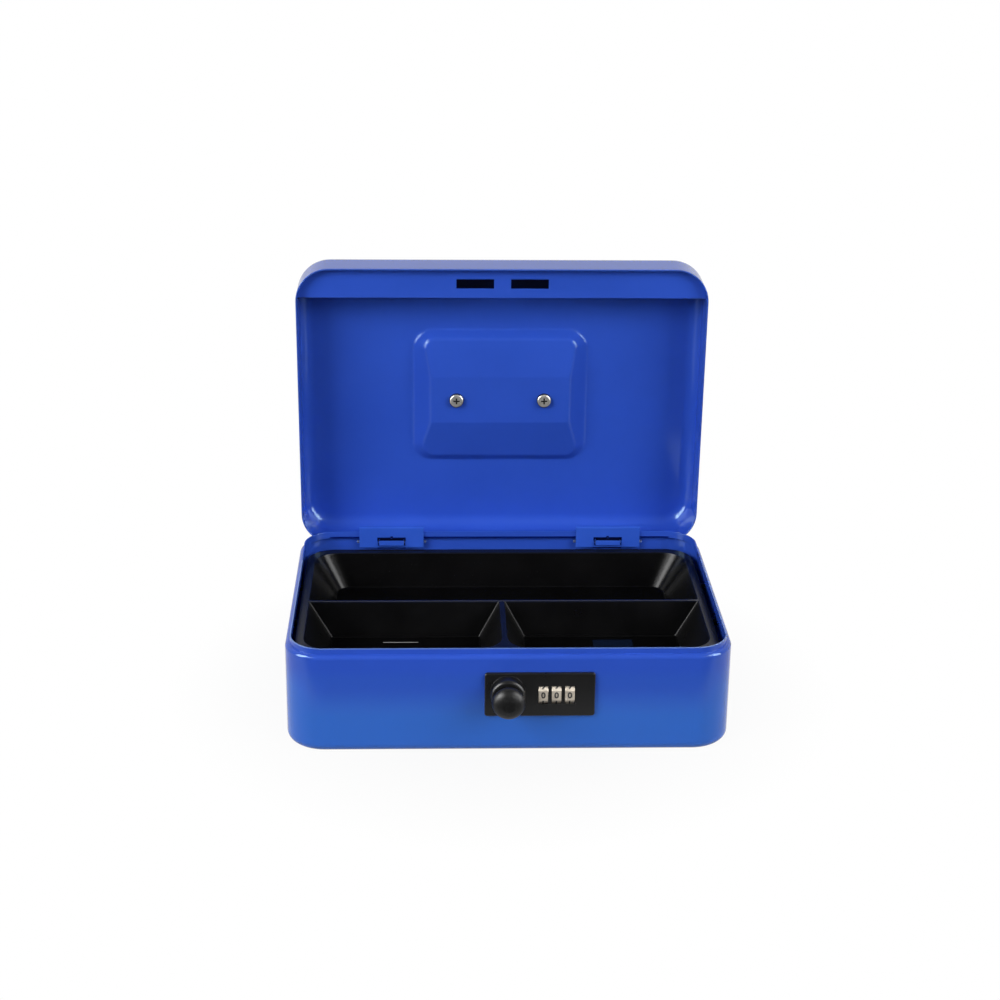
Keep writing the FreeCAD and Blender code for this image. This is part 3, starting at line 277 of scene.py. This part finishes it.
class Nodes:
    """A node tree under construction."""

    def __init__(self, tree):
        self.tree = tree

    def add(self, kind, **settings):
        node = self.tree.nodes.new(kind)
        for name, value in settings.items():
            setattr(node, name, value)
        return node

    def link(self, source, target):
        self.tree.links.new(source, target)

    def ramp(self, value, low, high, start=0.0, end=1.0):
        """Map value from low..high to start..end, held at both ends."""
        node = self.add("ShaderNodeMapRange")
        for name, number in (("From Min", low), ("From Max", high), ("To Min", start), ("To Max", end)):
            node.inputs[name].default_value = number
        self.link(value, node.inputs["Value"])
        return node.outputs["Result"]

    def join(self, operation, first, second):
        node = self.add("ShaderNodeMath", operation=operation)
        self.link(first, node.inputs[0])
        self.link(second, node.inputs[1])
        return node.outputs["Value"]

    def axes(self, vector):
        node = self.add("ShaderNodeSeparateXYZ")
        self.link(vector, node.inputs["Vector"])
        return node.outputs

    def mix(self, amount, first, second):
        """Blend two colours, each a constant or another node's output."""
        node = self.add("ShaderNodeMix", data_type="RGBA")
        self.link(amount, node.inputs["Factor"])
        for socket, colour in zip((node.inputs[6], node.inputs[7]), (first, second)):
            if isinstance(colour, tuple):
                socket.default_value = colour
            else:
                self.link(colour, socket)
        return node.outputs[2]

    def mix_shaders(self, amount, first, second):
        node = self.add("ShaderNodeMixShader")
        for socket, source in zip(node.inputs, (amount, first, second)):
            self.link(source, socket)
        return node.outputs["Shader"]

    def rays(self):
        """Whether a ray comes straight from the camera, and whether gloss or glass sent it on."""
        path = self.add("ShaderNodeLightPath").outputs
        return path["Is Camera Ray"], self.join("MAXIMUM", path["Is Glossy Ray"], path["Is Transmission Ray"])


class Surface(Nodes):
    """One material under construction: its principled shader and the nodes that feed it."""

    def __init__(self, name, edge_radius=EDGE_RADIUS):
        self.material = bpy.data.materials.new(name)
        self.material.use_nodes = True
        super().__init__(self.material.node_tree)
        self.shader = self.tree.nodes["Principled BSDF"]
        self.place = self.add("ShaderNodeTexCoord").outputs["Object"]
        soft = self.add("ShaderNodeBevel", samples=6)
        soft.inputs["Radius"].default_value = edge_radius
        self.soft_normal = soft.outputs["Normal"]

    def set(self, **sockets):
        for name, value in sockets.items():
            self.shader.inputs[name.replace("_", " ")].default_value = value

    def feed(self, name, value):
        self.link(value, self.shader.inputs[name])

    def stretched(self, x, y, z):
        node = self.add("ShaderNodeMapping")
        node.inputs["Scale"].default_value = (x, y, z)
        self.link(self.place, node.inputs["Vector"])
        return node.outputs["Vector"]

    def noise(self, scale, detail=4.0, roughness=0.5, place=None):
        node = self.add("ShaderNodeTexNoise")
        node.inputs["Scale"].default_value = scale
        node.inputs["Detail"].default_value = detail
        node.inputs["Roughness"].default_value = roughness
        self.link(place or self.place, node.inputs["Vector"])
        return node.outputs["Fac"]

    def spread(self, noise, least, most):
        """Values between least and most that follow a noise."""
        return self.ramp(noise, *NOISE_SPAN, least, most)

    def within(self, x=None, y=None, z=None, blur=MASK_BLUR):
        """One inside the given spans of the piece's own coordinates, nought outside."""
        axes = self.axes(self.place)
        inside = None
        for axis, span in zip("XYZ", (x, y, z)):
            if span:
                low, high = span
                rise = self.ramp(axes[axis], low - blur, low + blur)
                fall = self.ramp(axes[axis], high - blur, high + blur, 1.0, 0.0)
                for value in (rise, fall):
                    inside = self.join("MULTIPLY", inside, value) if inside else value
        return inside

    def factor_within(self, place, factor):
        """The factor inside a place, one outside."""
        return self.ramp(self.within(**place), 0.0, 1.0, 1.0, factor)

    def tint(self, colour, places):
        """Lay tints over a colour, each (place, tint)."""
        for place, tint in places:
            colour = self.mix(self.within(**place), colour, tint)
        return colour

    def edges(self, amount):
        """How near a point lies to a sharp edge, from nought to amount."""
        likeness = self.add("ShaderNodeVectorMath", operation="DOT_PRODUCT")
        self.link(self.soft_normal, likeness.inputs[0])
        self.link(self.add("ShaderNodeNewGeometry").outputs["Normal"], likeness.inputs[1])
        return self.ramp(likeness.outputs["Value"], EDGE_BEGINS, EDGE_REACHED, 0.0, amount)

    def bump(self, *layers):
        """Stack height fields, each (value, height), on the softened edges into the shader's normal."""
        normal = self.soft_normal
        for value, height in layers:
            node = self.add("ShaderNodeBump")
            node.inputs["Distance"].default_value = height
            self.link(value, node.inputs["Height"])
            self.link(normal, node.inputs["Normal"])
            normal = node.outputs["Normal"]
        self.link(normal, self.shader.inputs["Normal"])


# Finishes


def powder_coat(name, mottle, places=(), tones=(BLUE, BLUE_DEEP), edge_radius=EDGE_RADIUS):
    """Blue powder coat: orange peel, faint mottling, lighter edges that are partly paint drawn thin and
    partly a painted highlight, and tints at places, among them painted shade, painted highlights and painted
    reflections.
    """
    surface = Surface(name, edge_radius)
    clouds = surface.noise(mottle, detail=3.0)
    mottled = surface.mix(surface.ramp(clouds, low=0.35, high=0.65), *tones)
    # Sharp edges turn lighter blue: partly paint drawn thin, partly a painted highlight
    worn = surface.mix(surface.edges(amount=0.6), mottled, BLUE_THIN_AND_SHEEN)
    surface.feed("Base Color", surface.tint(worn, places))
    surface.feed("Roughness", surface.spread(clouds, least=0.09, most=0.12))
    peel = surface.noise(scale=700.0, detail=2.0)
    speck = surface.noise(scale=2600.0, detail=2.0)
    surface.bump((peel, PEEL_HEIGHT), (speck, SPECK_HEIGHT))
    surface.set(Specular_IOR_Level=0.45, Specular_Tint=GLOSS_TINT)
    return surface.material


def cast_paint():
    """Satin black paint over a casting, grey along its edges: partly rubbed paint, partly a painted
    highlight.
    """
    surface = Surface("black_casting")
    grain = surface.noise(scale=1900.0, detail=5.0)
    clouds = surface.noise(scale=60.0)
    # Edges turn grey: partly rubbed paint, partly a painted highlight
    surface.feed("Base Color", surface.mix(surface.edges(amount=0.7), BLACK_PAINT, BLACK_WORN_DUST_AND_SHEEN))
    surface.feed("Roughness", surface.spread(clouds, least=0.26, most=0.34))
    surface.bump((grain, PAINT_GRAIN_HEIGHT))
    surface.set(Specular_IOR_Level=0.3)
    return surface.material


def knob_plastic():
    """Turned black plastic with hair-fine handling marks."""
    surface = Surface("knob_plastic")
    drawn_out = surface.stretched(x=1.0, y=9.0, z=1.0)
    marks = surface.noise(scale=220.0, detail=6.0, roughness=0.65, place=drawn_out)
    dust = surface.noise(scale=1500.0, detail=3.0)
    surface.feed("Base Color", surface.mix(surface.ramp(dust, low=0.45, high=0.75), KNOB_BLACK, KNOB_PALE))
    surface.feed("Roughness", surface.spread(marks, least=0.32, most=0.42))
    surface.bump((marks, KNOB_MARK_HEIGHT))
    surface.set(Specular_IOR_Level=0.22)
    return surface.material


def moulded_black(surface):
    """Fine spark-eroded grain and a little dust; gives back the colour and the cloudiness."""
    grain = surface.noise(scale=2300.0, detail=3.0, roughness=0.6)
    clouds = surface.noise(scale=35.0, detail=5.0)
    dust = surface.noise(scale=900.0, detail=2.0)
    clouded = surface.ramp(clouds, low=0.35, high=0.7, end=0.35)
    dusted = surface.ramp(dust, low=0.70, high=0.80, end=0.35)
    pale = surface.mix(clouded, BLACK_PLASTIC, BLACK_PLASTIC_PALE)
    surface.bump((grain, MOULD_GRAIN_HEIGHT))
    surface.set(Specular_IOR_Level=0.12)
    return surface.mix(dusted, pale, BLACK_WORN_DUST_AND_SHEEN), clouds


def stud_plastic():
    surface = Surface("stud_plastic")
    colour, clouds = moulded_black(surface)
    surface.feed("Base Color", colour)
    surface.feed("Roughness", surface.spread(clouds, least=0.25, most=0.31))
    return surface.material


def tray_plastic():
    """The tray: a dusty rim tinted with a painted blue reflection, a painted highlight on the divider's top
    and along the left pad's edge, and a polished right pad tinted with a painted reflection of the blue lid.
    """
    surface = Surface("tray_plastic")
    colour, clouds = moulded_black(surface)
    surface.feed("Base Color", surface.tint(colour, (
        (TRAY_TOP_DUST_AND_REFLECTION, RIM_DUST_AND_REFLECTION), (SHEEN_GREYED_DIVIDER, SHEEN_GREY), (LEFT_PAD_HIGHLIGHT, PAD_HIGHLIGHT), (RIGHT_PAD, PAD_BLUE_REFLECTION))))
    roughness = surface.spread(clouds, least=0.18, most=0.23)
    for place, factor in ((RIGHT_PAD, PAD_POLISH), (FRONT_POCKETS, POCKET_MATT)):
        roughness = surface.join("MULTIPLY", roughness, surface.factor_within(place, factor))
    surface.feed("Roughness", roughness)
    return surface.material


def metal(name, bright, dull, rough, stretch=EVEN, brushing=BRUSHING, metallic=1.0, places=()):
    """Plated or bare metal: stretched brushing, dull patches, clean edges, other tints at places."""
    surface = Surface(name)
    lines = surface.noise(scale=900.0, detail=5.0, roughness=0.6, place=surface.stretched(*stretch))
    clouds = surface.noise(scale=180.0)
    worn = surface.mix(surface.ramp(clouds, low=0.35, high=0.75), bright, dull)
    clean = surface.mix(surface.edges(amount=0.6), worn, bright)
    surface.feed("Base Color", surface.tint(clean, places))
    roughness = surface.spread(lines, least=rough - BRUSHED_SMOOTHER, most=rough + BRUSHED_ROUGHER)
    surface.feed("Roughness", roughness)
    surface.bump((lines, brushing))
    surface.set(Metallic=metallic)
    return surface.material


def die_cast():
    """As-cast zinc alloy: grainy, with darker flow marks."""
    surface = Surface("die_cast")
    flow = surface.noise(scale=90.0, detail=6.0, roughness=0.6)
    grain = surface.noise(scale=1600.0)
    surface.feed("Base Color", surface.mix(surface.ramp(flow, low=0.4, high=0.65), CAST, CAST_DARK))
    surface.feed("Roughness", surface.spread(grain, least=0.42, most=0.58))
    surface.bump((grain, CAST_GRAIN_HEIGHT))
    surface.set(Metallic=1.0)
    return surface.material


def digit_ink():
    """Dark filling of the digits, a little worn."""
    surface = Surface("digit_ink")
    wear = surface.noise(scale=1400.0)
    surface.feed("Base Color", surface.mix(surface.ramp(wear, low=0.5, high=0.75, end=0.6), INK, INK_WORN))
    surface.feed("Roughness", surface.spread(wear, least=0.5, most=0.7))
    surface.bump((wear, INK_WEAR_HEIGHT))
    return surface.material


# Carried-over pieces and their finishes


def dress(material, *names):
    for name in names:
        for place in nodes[name].material_slots:
            place.material = material


def dress_painted_steel():
    # Every tint on the base is painted light: a highlight, shadows, shade, bounce light and reflections
    base_painted_light = [
        (RIM_TOP_HIGHLIGHT, RIM_HIGHLIGHT_BLUE), *tinted(SHADOW_NAVY, *both_sides(BEHIND_HINGE_SHADOW)), (BACK_CREASE_SHADOW, CREASE_SHADOW_BLUE),
        (FRONT_WALL_SHADE, BLUE_FRONT_PAINTED_LIGHT), (FRONT_FOOT_BOUNCE_LIGHT, BLUE_FRONT_PAINTED_LIGHT_LOW),
        *tinted(CORNER_REFLECTION_BLUE, *both_sides(FRONT_CORNER_REFLECTION))]
    lid_painted_shadow = tinted(SHADOW_NAVY, BEHIND_STRIKE_SHADOW)
    hinge_painted_shadows = tinted(SHADOW_NAVY, *both_sides(HINGE_SLIT), *both_sides(HINGE_NOTCH_SHADOW))
    # The hinges get the lighter copies of the blue: painted light
    hinge_lit_tones = (HINGE_BLUE_LIT, HINGE_BLUE_LIT_DEEP)
    dress(powder_coat("blue_body", mottle=14.0, places=base_painted_light), "base_shell")
    dress(powder_coat("blue_lid", mottle=17.0, places=lid_painted_shadow, edge_radius=LID_EDGE_RADIUS), "lid_shell")
    dress(powder_coat("blue_strike", mottle=17.0), "strike_plate")
    dress(
        powder_coat("blue_hinge", mottle=40.0, places=hinge_painted_shadows, tones=hinge_lit_tones),
        "hinge_plate_left", "hinge_plate_right", "hinge_tab_left", "hinge_tab_right")


def dress_black_pieces():
    dress(cast_paint(), "lock_plate", "handle_lug_left", "handle_lug_right")
    dress(knob_plastic(), "knob")
    dress(tray_plastic(), "coin_tray")
    dress(stud_plastic(), "tray_studs")


def dress_metal_pieces():
    dress(
        metal("nickel_wheel", DIAL, DIAL_DULL, rough=0.40, stretch=(1.0, 12.0, 12.0),
              brushing=COARSE_BRUSHING, metallic=0.55),
        "number_wheel_1", "number_wheel_2", "number_wheel_3")
    dress(metal("nickel_wire", NICKEL, NICKEL_DULL, rough=0.20, stretch=(1.0, 6.0, 1.0)), "handle_bail")
    dress(
        metal("bright_screw", CHROME, ZINC_DULL, rough=0.20, brushing=FINE_BRUSHING, metallic=0.6,
              places=tinted(SCREW_HOLLOW_SHADE, SHADED_SCREW_HOLLOWS)),
        "handle_screws")
    dress(
        metal("zinc_screw", ZINC, ZINC_DULL, rough=0.22, brushing=COARSE_BRUSHING),
        "lock_screws", "cover_screws")
    dress(
        metal("pin_steel", PIN_STEEL_BLUE_LIT, PIN_DULL_BLUE_LIT, rough=0.42, stretch=(8.0, 1.0, 1.0)),
        "hinge_pin_left", "hinge_pin_right")
    dress(
        metal("zinc_plate", ZINC, ZINC_DULL, rough=0.32, stretch=(8.0, 1.0, 1.0)),
        "lock_cover", "lock_shaft", "knob_spindle", "lock_claw", "claw_nut")
    dress(
        metal("spring_steel", STEEL, STEEL_DULL, rough=0.28, stretch=(1.0, 8.0, 1.0)),
        "detent_spring", "shaft_spring")
    dress(
        metal("turned_brass", BRASS, BRASS_DULL, rough=0.25, stretch=(10.0, 1.0, 1.0)),
        "lock_cam", "code_sleeve_1", "code_sleeve_2", "code_sleeve_3")
    dress(die_cast(), "lock_case")


# Digits on the dial wheels


def digit_mesh(digit):
    curve = bpy.data.curves.new(f"digit_{digit}", "FONT")
    curve.body = str(digit)
    curve.align_x = "CENTER"
    curve.align_y = "CENTER"
    curve.size = DIGIT_HEIGHT / DIGIT_SHARE_OF_FONT
    curve.extrude = DIGIT_DEPTH
    curve.offset = DIGIT_BOLD
    curve.resolution_u = DIGIT_CURVE_STEPS
    carrier = bpy.data.objects.new(f"digit_{digit}", curve)
    mesh = bpy.data.meshes.new_from_object(carrier)
    bpy.data.objects.remove(carrier)
    return mesh


def facet_turns(wheel):
    """The wheel's middle, and each facet's turn about X from the front with its distance from the axis."""
    low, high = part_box(wheel)
    middle = (low + high) / 2
    facets = {}
    for face in nodes[wheel].data.polygons:
        distance = (face.center - middle).yz.dot(face.normal.yz)
        if abs(face.normal.x) < FACET_TILT and distance > FACET_SHARE * (high.z - low.z):
            turn = round(math.degrees(math.atan2(-face.normal.z, -face.normal.y)), 1) % 360
            facets[turn] = distance
    return middle, sorted(facets.items())


def wheel_digits(number, front_digit, ink):
    """Ten digits laid on the facets, the wanted one towards the front."""
    middle, facets = facet_turns(f"number_wheel_{number}")
    nearest = min(range(len(facets)), key=lambda i: min(facets[i][0], 360 - facets[i][0]))
    stand = Matrix.Rotation(math.radians(90), 4, "X")
    verts = []
    faces = []
    for step, (angle, distance) in enumerate(facets):
        mesh = digit_mesh((front_digit + step - nearest) % WHEEL_FACETS)
        outwards = Matrix.Translation((0, -distance, 0))
        turn = Matrix.Rotation(math.radians(angle), 4, "X")
        mesh.transform(Matrix.Translation(middle) @ turn @ outwards @ stand)
        start = len(verts)
        verts += [vertex.co.copy() for vertex in mesh.vertices]
        faces += [[start + corner for corner in face.vertices] for face in mesh.polygons]
        bpy.data.meshes.remove(mesh)
    joined = bpy.data.meshes.new(f"wheel_{number}_digits")
    joined.from_pydata(verts, [], faces)
    joined.materials.append(ink)
    piece = bpy.data.objects.new(f"wheel_{number}_digits", joined)
    bpy.context.scene.collection.objects.link(piece)
    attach(piece, f"wheel_{number}")


# Studio


def floor_material():
    """A pale floor, white to the camera and near the box in gloss, with a faint shadow by the box."""
    material = bpy.data.materials.new("studio_floor")
    material.use_nodes = True
    floor = Nodes(material.node_tree)
    spot = floor.add("ShaderNodeTexCoord").outputs["Object"]
    length = floor.add("ShaderNodeVectorMath", operation="LENGTH")
    floor.link(spot, length.inputs[0])
    distance = length.outputs["Value"]
    sheet = floor.tree.nodes["Principled BSDF"]
    sheet.inputs["Roughness"].default_value = FLOOR_ROUGHNESS
    sheet.inputs["Specular IOR Level"].default_value = 0.0
    floor.link(floor.mix(floor.ramp(distance, *SHEET_SPAN), FLOOR, FLOOR_FAR), sheet.inputs["Base Color"])
    dark = floor.add("ShaderNodeEmission")
    dark.inputs["Strength"].default_value = 0.0
    white = floor.add("ShaderNodeEmission")
    straight, gloss = floor.rays()
    seen = floor.join("MULTIPLY", straight, floor.ramp(distance, *SHADOW_SPAN, FLOOR_SHADE, 1.0))
    nearness = floor.ramp(floor.axes(spot)["Y"], *MIRROR_SPAN, MIRROR_FRONT, MIRROR_BACK)
    mirrored = floor.join("MULTIPLY", gloss, nearness)
    matt = floor.mix_shaders(gloss, sheet.outputs["BSDF"], dark.outputs["Emission"])
    shown = floor.mix_shaders(floor.join("MAXIMUM", seen, mirrored), matt, white.outputs["Emission"])
    floor.link(shown, floor.tree.nodes["Material Output"].inputs["Surface"])
    return material


def studio_floor():
    mesh = bpy.data.meshes.new("studio_floor")
    corners = [(x * FLOOR_REACH, y * FLOOR_REACH, 0) for x, y in ((-1, -1), (1, -1), (1, 1), (-1, 1))]
    mesh.from_pydata(corners, [], [(0, 1, 2, 3)])
    mesh.materials.append(floor_material())
    floor = bpy.data.objects.new("studio_floor", mesh)
    bpy.context.scene.collection.objects.link(floor)


def studio_world():
    """White where the camera looks and where gloss shows the backdrop, a dim room in front."""
    world = bpy.data.worlds.new("studio_world")
    bpy.context.scene.world = world
    world.use_nodes = True
    sky = Nodes(world.node_tree)
    way = sky.axes(sky.add("ShaderNodeTexCoord").outputs["Generated"])
    overhead = sky.ramp(way["Z"], *OVERHEAD_SPAN, ROOM_FRONT, ROOM_TOP)
    backdrop = sky.ramp(way["Y"], *BACKDROP_SPAN, 0.0, ROOM_BACK)
    behind = sky.ramp(way["Y"], *BACKDROP_SPAN)
    room = sky.tree.nodes["Background"]
    room.inputs["Color"].default_value = WHITE
    sky.link(sky.join("MAXIMUM", overhead, backdrop), room.inputs["Strength"])
    white = sky.add("ShaderNodeBackground")
    white.inputs["Color"].default_value = WHITE
    straight, gloss = sky.rays()
    seen = sky.join("MAXIMUM", straight, sky.join("MULTIPLY", gloss, behind))
    shown = sky.mix_shaders(seen, room.outputs["Background"], white.outputs["Background"])
    sky.link(shown, sky.tree.nodes["World Output"].inputs["Surface"])


def soft_box(name, place, size, power, lights, shines):
    """A lamp of size width and height aimed at the box; it may serve the matt light, the gloss or both."""
    light = bpy.data.lights.new(name, "AREA")
    light.shape = "RECTANGLE"
    light.size, light.size_y = size
    light.energy = power
    lamp = bpy.data.objects.new(name, light)
    lamp.location = place
    lamp.rotation_euler = (LAMP_TARGET - place).to_track_quat("-Z", "Y").to_euler()
    lamp.visible_diffuse = lights
    lamp.visible_glossy = shines
    bpy.context.scene.collection.objects.link(lamp)


def studio_lights():
    for side, sign, share in (("left", -1, LEFT_SHARE), ("right", 1, RIGHT_SHARE)):
        lamp_place = LAMP_PLACE * Vector((sign, 1, 1))
        card_place = CARD_PLACE * Vector((sign, 1, 1))
        soft_box(f"{side}_lamp", lamp_place, LAMP_SIZE, LAMP_POWER * share, lights=True, shines=False)
        soft_box(f"{side}_card", card_place, CARD_SIZE, CARD_POWER * share, lights=False, shines=True)
        soft_box(f"{side}_spot", lamp_place, SPOT_SIZE, SPOT_POWER, lights=False, shines=True)
    soft_box("front_fill", FILL_PLACE, FILL_SIZE, FILL_POWER, lights=True, shines=False)


def camera():
    data = bpy.data.cameras.new("camera")
    data.sensor_width = SENSOR
    data.lens = FOCAL_PIXELS * SENSOR / IMAGE_PIXELS
    data.clip_start = CLIP_NEAR
    data.clip_end = CLIP_FAR
    ahead = Vector((math.sin(CAMERA_YAW), math.cos(CAMERA_YAW), 0))
    forward = ahead * math.cos(CAMERA_PITCH) - Vector((0, 0, math.sin(CAMERA_PITCH)))
    level = Vector((math.cos(CAMERA_YAW), -math.sin(CAMERA_YAW), 0))
    above = level.cross(forward)
    right = level * math.cos(CAMERA_ROLL) + above * math.sin(CAMERA_ROLL)
    up = above * math.cos(CAMERA_ROLL) - level * math.sin(CAMERA_ROLL)
    view = bpy.data.objects.new("camera", data)
    view.matrix_world = Matrix.Translation(CAMERA_PLACE) @ Matrix((right, up, -forward)).transposed().to_4x4()
    bpy.context.scene.collection.objects.link(view)
    bpy.context.scene.camera = view


dress_painted_steel()
dress_black_pieces()
dress_metal_pieces()
ink = digit_ink()
for number, digit in enumerate(FRONT_DIGITS, 1):
    wheel_digits(number, digit, ink)
studio_floor()
studio_world()
studio_lights()
camera()
bpy.context.scene.view_settings.view_transform = "Standard"
